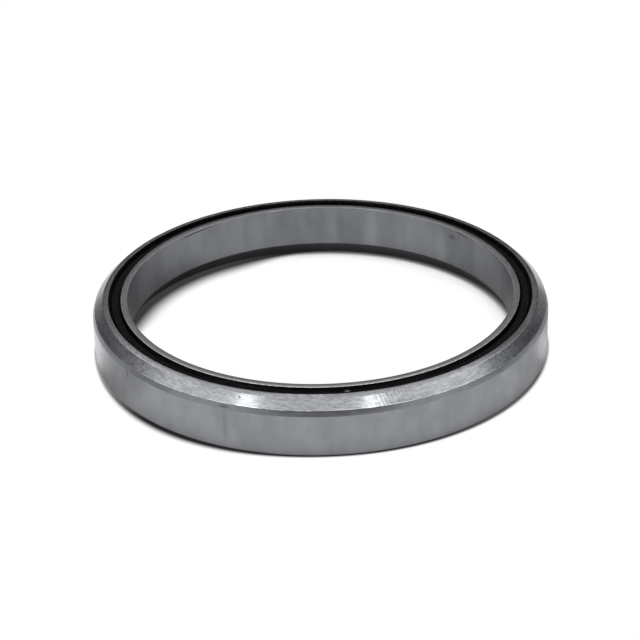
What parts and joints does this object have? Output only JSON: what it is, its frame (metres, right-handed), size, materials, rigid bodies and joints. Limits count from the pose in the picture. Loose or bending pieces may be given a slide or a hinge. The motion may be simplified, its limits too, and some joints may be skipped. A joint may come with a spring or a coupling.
{
  "type": "headset bearing",
  "caption": "Thin sealed angular-contact ring bearing for a bicycle headset: bevelled outer ring, bored inner ring, rubber seals, and balls in a retainer.",
  "frame": {"origin": "on the axis of rotation, in the plane of the rings' lower faces", "axes": "+Z along the axis of rotation, towards the end where the outer ring has its contact chamfer; X and Y lie in the plane of the rings"},
  "size_m": [0.052, 0.052, 0.0065],
  "materials": {
    "outer_ring_steel": "ground, satin, brighter on the contact chamfer",
    "inner_ring_steel": "ground, satin",
    "seal_rubber": "moulded, matt black",
    "retainer_nylon": "moulded, natural colour",
    "ball_steel": "lapped and polished"
  },
  "bodies": {
    "outer_body": {"outer_ring": "outer_ring_steel", "upper_seal": "seal_rubber", "lower_seal": "seal_rubber"},
    "inner_body": {"inner_ring": "inner_ring_steel"},
    "retainer_body": {"ball_retainer": "retainer_nylon"},
    "ball_01_body": {"ball_01": "ball_steel"},
    "ball_02_body": {"ball_02": "ball_steel"},
    "ball_03_body": {"ball_03": "ball_steel"},
    "ball_04_body": {"ball_04": "ball_steel"},
    "ball_05_body": {"ball_05": "ball_steel"},
    "ball_06_body": {"ball_06": "ball_steel"},
    "ball_07_body": {"ball_07": "ball_steel"},
    "ball_08_body": {"ball_08": "ball_steel"},
    "ball_09_body": {"ball_09": "ball_steel"},
    "ball_10_body": {"ball_10": "ball_steel"},
    "ball_11_body": {"ball_11": "ball_steel"},
    "ball_12_body": {"ball_12": "ball_steel"},
    "ball_13_body": {"ball_13": "ball_steel"},
    "ball_14_body": {"ball_14": "ball_steel"},
    "ball_15_body": {"ball_15": "ball_steel"},
    "ball_16_body": {"ball_16": "ball_steel"},
    "ball_17_body": {"ball_17": "ball_steel"},
    "ball_18_body": {"ball_18": "ball_steel"},
    "ball_19_body": {"ball_19": "ball_steel"},
    "ball_20_body": {"ball_20": "ball_steel"},
    "ball_21_body": {"ball_21": "ball_steel"},
    "ball_22_body": {"ball_22": "ball_steel"},
    "ball_23_body": {"ball_23": "ball_steel"},
    "ball_24_body": {"ball_24": "ball_steel"},
    "ball_25_body": {"ball_25": "ball_steel"},
    "ball_26_body": {"ball_26": "ball_steel"},
    "ball_27_body": {"ball_27": "ball_steel"},
    "ball_28_body": {"ball_28": "ball_steel"},
    "ball_29_body": {"ball_29": "ball_steel"},
    "ball_30_body": {"ball_30": "ball_steel"},
    "ball_31_body": {"ball_31": "ball_steel"},
    "ball_32_body": {"ball_32": "ball_steel"},
    "ball_33_body": {"ball_33": "ball_steel"},
    "ball_34_body": {"ball_34": "ball_steel"},
    "ball_35_body": {"ball_35": "ball_steel"},
    "ball_36_body": {"ball_36": "ball_steel"},
    "ball_37_body": {"ball_37": "ball_steel"},
    "ball_38_body": {"ball_38": "ball_steel"},
    "ball_39_body": {"ball_39": "ball_steel"},
    "ball_40_body": {"ball_40": "ball_steel"},
    "ball_41_body": {"ball_41": "ball_steel"},
    "ball_42_body": {"ball_42": "ball_steel"},
    "ball_43_body": {"ball_43": "ball_steel"},
    "ball_44_body": {"ball_44": "ball_steel"},
    "ball_45_body": {"ball_45": "ball_steel"},
    "ball_46_body": {"ball_46": "ball_steel"},
    "ball_47_body": {"ball_47": "ball_steel"},
    "ball_48_body": {"ball_48": "ball_steel"}
  },
  "joints": [
    {"name": "inner_ring_spin", "type": "hinge", "parent": "outer_body", "child": "inner_body", "pos_m": [0, 0, 0.00325], "axis": [0, 0, 1], "continuous": true},
    {"name": "retainer_spin", "type": "hinge", "parent": "outer_body", "child": "retainer_body", "pos_m": [0, 0, 0.00325], "axis": [0, 0, 1], "continuous": true},
    {"name": "ball_01_spin", "type": "hinge", "parent": "retainer_body", "child": "ball_01_body", "pos_m": [0.02379, 0.00313, 0.00325], "axis": [-0.6373, -0.0839, 0.766], "continuous": true},
    {"name": "ball_02_spin", "type": "hinge", "parent": "retainer_body", "child": "ball_02_body", "pos_m": [0.02318, 0.00621, 0.00325], "axis": [-0.6209, -0.1664, 0.766], "continuous": true},
    {"name": "ball_03_spin", "type": "hinge", "parent": "retainer_body", "child": "ball_03_body", "pos_m": [0.02217, 0.00918, 0.00325], "axis": [-0.5939, -0.246, 0.766], "continuous": true},
    {"name": "ball_04_spin", "type": "hinge", "parent": "retainer_body", "child": "ball_04_body", "pos_m": [0.02078, 0.012, 0.00325], "axis": [-0.5567, -0.3214, 0.766], "continuous": true},
    {"name": "ball_05_spin", "type": "hinge", "parent": "retainer_body", "child": "ball_05_body", "pos_m": [0.01904, 0.01461, 0.00325], "axis": [-0.51, -0.3913, 0.766], "continuous": true},
    {"name": "ball_06_spin", "type": "hinge", "parent": "retainer_body", "child": "ball_06_body", "pos_m": [0.01697, 0.01697, 0.00325], "axis": [-0.4545, -0.4545, 0.766], "continuous": true},
    {"name": "ball_07_spin", "type": "hinge", "parent": "retainer_body", "child": "ball_07_body", "pos_m": [0.01461, 0.01904, 0.00325], "axis": [-0.3913, -0.51, 0.766], "continuous": true},
    {"name": "ball_08_spin", "type": "hinge", "parent": "retainer_body", "child": "ball_08_body", "pos_m": [0.012, 0.02078, 0.00325], "axis": [-0.3214, -0.5567, 0.766], "continuous": true},
    {"name": "ball_09_spin", "type": "hinge", "parent": "retainer_body", "child": "ball_09_body", "pos_m": [0.00918, 0.02217, 0.00325], "axis": [-0.246, -0.5939, 0.766], "continuous": true},
    {"name": "ball_10_spin", "type": "hinge", "parent": "retainer_body", "child": "ball_10_body", "pos_m": [0.00621, 0.02318, 0.00325], "axis": [-0.1664, -0.6209, 0.766], "continuous": true},
    {"name": "ball_11_spin", "type": "hinge", "parent": "retainer_body", "child": "ball_11_body", "pos_m": [0.00313, 0.02379, 0.00325], "axis": [-0.0839, -0.6373, 0.766], "continuous": true},
    {"name": "ball_12_spin", "type": "hinge", "parent": "retainer_body", "child": "ball_12_body", "pos_m": [0, 0.024, 0.00325], "axis": [0, -0.6428, 0.766], "continuous": true},
    {"name": "ball_13_spin", "type": "hinge", "parent": "retainer_body", "child": "ball_13_body", "pos_m": [-0.00313, 0.02379, 0.00325], "axis": [0.0839, -0.6373, 0.766], "continuous": true},
    {"name": "ball_14_spin", "type": "hinge", "parent": "retainer_body", "child": "ball_14_body", "pos_m": [-0.00621, 0.02318, 0.00325], "axis": [0.1664, -0.6209, 0.766], "continuous": true},
    {"name": "ball_15_spin", "type": "hinge", "parent": "retainer_body", "child": "ball_15_body", "pos_m": [-0.00918, 0.02217, 0.00325], "axis": [0.246, -0.5939, 0.766], "continuous": true},
    {"name": "ball_16_spin", "type": "hinge", "parent": "retainer_body", "child": "ball_16_body", "pos_m": [-0.012, 0.02078, 0.00325], "axis": [0.3214, -0.5567, 0.766], "continuous": true},
    {"name": "ball_17_spin", "type": "hinge", "parent": "retainer_body", "child": "ball_17_body", "pos_m": [-0.01461, 0.01904, 0.00325], "axis": [0.3913, -0.51, 0.766], "continuous": true},
    {"name": "ball_18_spin", "type": "hinge", "parent": "retainer_body", "child": "ball_18_body", "pos_m": [-0.01697, 0.01697, 0.00325], "axis": [0.4545, -0.4545, 0.766], "continuous": true},
    {"name": "ball_19_spin", "type": "hinge", "parent": "retainer_body", "child": "ball_19_body", "pos_m": [-0.01904, 0.01461, 0.00325], "axis": [0.51, -0.3913, 0.766], "continuous": true},
    {"name": "ball_20_spin", "type": "hinge", "parent": "retainer_body", "child": "ball_20_body", "pos_m": [-0.02078, 0.012, 0.00325], "axis": [0.5567, -0.3214, 0.766], "continuous": true},
    {"name": "ball_21_spin", "type": "hinge", "parent": "retainer_body", "child": "ball_21_body", "pos_m": [-0.02217, 0.00918, 0.00325], "axis": [0.5939, -0.246, 0.766], "continuous": true},
    {"name": "ball_22_spin", "type": "hinge", "parent": "retainer_body", "child": "ball_22_body", "pos_m": [-0.02318, 0.00621, 0.00325], "axis": [0.6209, -0.1664, 0.766], "continuous": true},
    {"name": "ball_23_spin", "type": "hinge", "parent": "retainer_body", "child": "ball_23_body", "pos_m": [-0.02379, 0.00313, 0.00325], "axis": [0.6373, -0.0839, 0.766], "continuous": true},
    {"name": "ball_24_spin", "type": "hinge", "parent": "retainer_body", "child": "ball_24_body", "pos_m": [-0.024, 0, 0.00325], "axis": [0.6428, 0, 0.766], "continuous": true},
    {"name": "ball_25_spin", "type": "hinge", "parent": "retainer_body", "child": "ball_25_body", "pos_m": [-0.02379, -0.00313, 0.00325], "axis": [0.6373, 0.0839, 0.766], "continuous": true},
    {"name": "ball_26_spin", "type": "hinge", "parent": "retainer_body", "child": "ball_26_body", "pos_m": [-0.02318, -0.00621, 0.00325], "axis": [0.6209, 0.1664, 0.766], "continuous": true},
    {"name": "ball_27_spin", "type": "hinge", "parent": "retainer_body", "child": "ball_27_body", "pos_m": [-0.02217, -0.00918, 0.00325], "axis": [0.5939, 0.246, 0.766], "continuous": true},
    {"name": "ball_28_spin", "type": "hinge", "parent": "retainer_body", "child": "ball_28_body", "pos_m": [-0.02078, -0.012, 0.00325], "axis": [0.5567, 0.3214, 0.766], "continuous": true},
    {"name": "ball_29_spin", "type": "hinge", "parent": "retainer_body", "child": "ball_29_body", "pos_m": [-0.01904, -0.01461, 0.00325], "axis": [0.51, 0.3913, 0.766], "continuous": true},
    {"name": "ball_30_spin", "type": "hinge", "parent": "retainer_body", "child": "ball_30_body", "pos_m": [-0.01697, -0.01697, 0.00325], "axis": [0.4545, 0.4545, 0.766], "continuous": true},
    {"name": "ball_31_spin", "type": "hinge", "parent": "retainer_body", "child": "ball_31_body", "pos_m": [-0.01461, -0.01904, 0.00325], "axis": [0.3913, 0.51, 0.766], "continuous": true},
    {"name": "ball_32_spin", "type": "hinge", "parent": "retainer_body", "child": "ball_32_body", "pos_m": [-0.012, -0.02078, 0.00325], "axis": [0.3214, 0.5567, 0.766], "continuous": true},
    {"name": "ball_33_spin", "type": "hinge", "parent": "retainer_body", "child": "ball_33_body", "pos_m": [-0.00918, -0.02217, 0.00325], "axis": [0.246, 0.5939, 0.766], "continuous": true},
    {"name": "ball_34_spin", "type": "hinge", "parent": "retainer_body", "child": "ball_34_body", "pos_m": [-0.00621, -0.02318, 0.00325], "axis": [0.1664, 0.6209, 0.766], "continuous": true},
    {"name": "ball_35_spin", "type": "hinge", "parent": "retainer_body", "child": "ball_35_body", "pos_m": [-0.00313, -0.02379, 0.00325], "axis": [0.0839, 0.6373, 0.766], "continuous": true},
    {"name": "ball_36_spin", "type": "hinge", "parent": "retainer_body", "child": "ball_36_body", "pos_m": [0, -0.024, 0.00325], "axis": [0, 0.6428, 0.766], "continuous": true},
    {"name": "ball_37_spin", "type": "hinge", "parent": "retainer_body", "child": "ball_37_body", "pos_m": [0.00313, -0.02379, 0.00325], "axis": [-0.0839, 0.6373, 0.766], "continuous": true},
    {"name": "ball_38_spin", "type": "hinge", "parent": "retainer_body", "child": "ball_38_body", "pos_m": [0.00621, -0.02318, 0.00325], "axis": [-0.1664, 0.6209, 0.766], "continuous": true},
    {"name": "ball_39_spin", "type": "hinge", "parent": "retainer_body", "child": "ball_39_body", "pos_m": [0.00918, -0.02217, 0.00325], "axis": [-0.246, 0.5939, 0.766], "continuous": true},
    {"name": "ball_40_spin", "type": "hinge", "parent": "retainer_body", "child": "ball_40_body", "pos_m": [0.012, -0.02078, 0.00325], "axis": [-0.3214, 0.5567, 0.766], "continuous": true},
    {"name": "ball_41_spin", "type": "hinge", "parent": "retainer_body", "child": "ball_41_body", "pos_m": [0.01461, -0.01904, 0.00325], "axis": [-0.3913, 0.51, 0.766], "continuous": true},
    {"name": "ball_42_spin", "type": "hinge", "parent": "retainer_body", "child": "ball_42_body", "pos_m": [0.01697, -0.01697, 0.00325], "axis": [-0.4545, 0.4545, 0.766], "continuous": true},
    {"name": "ball_43_spin", "type": "hinge", "parent": "retainer_body", "child": "ball_43_body", "pos_m": [0.01904, -0.01461, 0.00325], "axis": [-0.51, 0.3913, 0.766], "continuous": true},
    {"name": "ball_44_spin", "type": "hinge", "parent": "retainer_body", "child": "ball_44_body", "pos_m": [0.02078, -0.012, 0.00325], "axis": [-0.5567, 0.3214, 0.766], "continuous": true},
    {"name": "ball_45_spin", "type": "hinge", "parent": "retainer_body", "child": "ball_45_body", "pos_m": [0.02217, -0.00918, 0.00325], "axis": [-0.5939, 0.246, 0.766], "continuous": true},
    {"name": "ball_46_spin", "type": "hinge", "parent": "retainer_body", "child": "ball_46_body", "pos_m": [0.02318, -0.00621, 0.00325], "axis": [-0.6209, 0.1664, 0.766], "continuous": true},
    {"name": "ball_47_spin", "type": "hinge", "parent": "retainer_body", "child": "ball_47_body", "pos_m": [0.02379, -0.00313, 0.00325], "axis": [-0.6373, 0.0839, 0.766], "continuous": true},
    {"name": "ball_48_spin", "type": "hinge", "parent": "retainer_body", "child": "ball_48_body", "pos_m": [0.024, 0, 0.00325], "axis": [-0.6428, 0, 0.766], "continuous": true}
  ],
  "couplings": [
    {"joint": "retainer_spin", "follows": "inner_ring_spin", "ratio": 0.481},
    {"joint": "ball_01_spin", "follows": "inner_ring_spin", "ratio": -10.065},
    {"joint": "ball_02_spin", "follows": "inner_ring_spin", "ratio": -10.065},
    {"joint": "ball_03_spin", "follows": "inner_ring_spin", "ratio": -10.065},
    {"joint": "ball_04_spin", "follows": "inner_ring_spin", "ratio": -10.065},
    {"joint": "ball_05_spin", "follows": "inner_ring_spin", "ratio": -10.065},
    {"joint": "ball_06_spin", "follows": "inner_ring_spin", "ratio": -10.065},
    {"joint": "ball_07_spin", "follows": "inner_ring_spin", "ratio": -10.065},
    {"joint": "ball_08_spin", "follows": "inner_ring_spin", "ratio": -10.065},
    {"joint": "ball_09_spin", "follows": "inner_ring_spin", "ratio": -10.065},
    {"joint": "ball_10_spin", "follows": "inner_ring_spin", "ratio": -10.065},
    {"joint": "ball_11_spin", "follows": "inner_ring_spin", "ratio": -10.065},
    {"joint": "ball_12_spin", "follows": "inner_ring_spin", "ratio": -10.065},
    {"joint": "ball_13_spin", "follows": "inner_ring_spin", "ratio": -10.065},
    {"joint": "ball_14_spin", "follows": "inner_ring_spin", "ratio": -10.065},
    {"joint": "ball_15_spin", "follows": "inner_ring_spin", "ratio": -10.065},
    {"joint": "ball_16_spin", "follows": "inner_ring_spin", "ratio": -10.065},
    {"joint": "ball_17_spin", "follows": "inner_ring_spin", "ratio": -10.065},
    {"joint": "ball_18_spin", "follows": "inner_ring_spin", "ratio": -10.065},
    {"joint": "ball_19_spin", "follows": "inner_ring_spin", "ratio": -10.065},
    {"joint": "ball_20_spin", "follows": "inner_ring_spin", "ratio": -10.065},
    {"joint": "ball_21_spin", "follows": "inner_ring_spin", "ratio": -10.065},
    {"joint": "ball_22_spin", "follows": "inner_ring_spin", "ratio": -10.065},
    {"joint": "ball_23_spin", "follows": "inner_ring_spin", "ratio": -10.065},
    {"joint": "ball_24_spin", "follows": "inner_ring_spin", "ratio": -10.065},
    {"joint": "ball_25_spin", "follows": "inner_ring_spin", "ratio": -10.065},
    {"joint": "ball_26_spin", "follows": "inner_ring_spin", "ratio": -10.065},
    {"joint": "ball_27_spin", "follows": "inner_ring_spin", "ratio": -10.065},
    {"joint": "ball_28_spin", "follows": "inner_ring_spin", "ratio": -10.065},
    {"joint": "ball_29_spin", "follows": "inner_ring_spin", "ratio": -10.065},
    {"joint": "ball_30_spin", "follows": "inner_ring_spin", "ratio": -10.065},
    {"joint": "ball_31_spin", "follows": "inner_ring_spin", "ratio": -10.065},
    {"joint": "ball_32_spin", "follows": "inner_ring_spin", "ratio": -10.065},
    {"joint": "ball_33_spin", "follows": "inner_ring_spin", "ratio": -10.065},
    {"joint": "ball_34_spin", "follows": "inner_ring_spin", "ratio": -10.065},
    {"joint": "ball_35_spin", "follows": "inner_ring_spin", "ratio": -10.065},
    {"joint": "ball_36_spin", "follows": "inner_ring_spin", "ratio": -10.065},
    {"joint": "ball_37_spin", "follows": "inner_ring_spin", "ratio": -10.065},
    {"joint": "ball_38_spin", "follows": "inner_ring_spin", "ratio": -10.065},
    {"joint": "ball_39_spin", "follows": "inner_ring_spin", "ratio": -10.065},
    {"joint": "ball_40_spin", "follows": "inner_ring_spin", "ratio": -10.065},
    {"joint": "ball_41_spin", "follows": "inner_ring_spin", "ratio": -10.065},
    {"joint": "ball_42_spin", "follows": "inner_ring_spin", "ratio": -10.065},
    {"joint": "ball_43_spin", "follows": "inner_ring_spin", "ratio": -10.065},
    {"joint": "ball_44_spin", "follows": "inner_ring_spin", "ratio": -10.065},
    {"joint": "ball_45_spin", "follows": "inner_ring_spin", "ratio": -10.065},
    {"joint": "ball_46_spin", "follows": "inner_ring_spin", "ratio": -10.065},
    {"joint": "ball_47_spin", "follows": "inner_ring_spin", "ratio": -10.065},
    {"joint": "ball_48_spin", "follows": "inner_ring_spin", "ratio": -10.065}
  ]
}
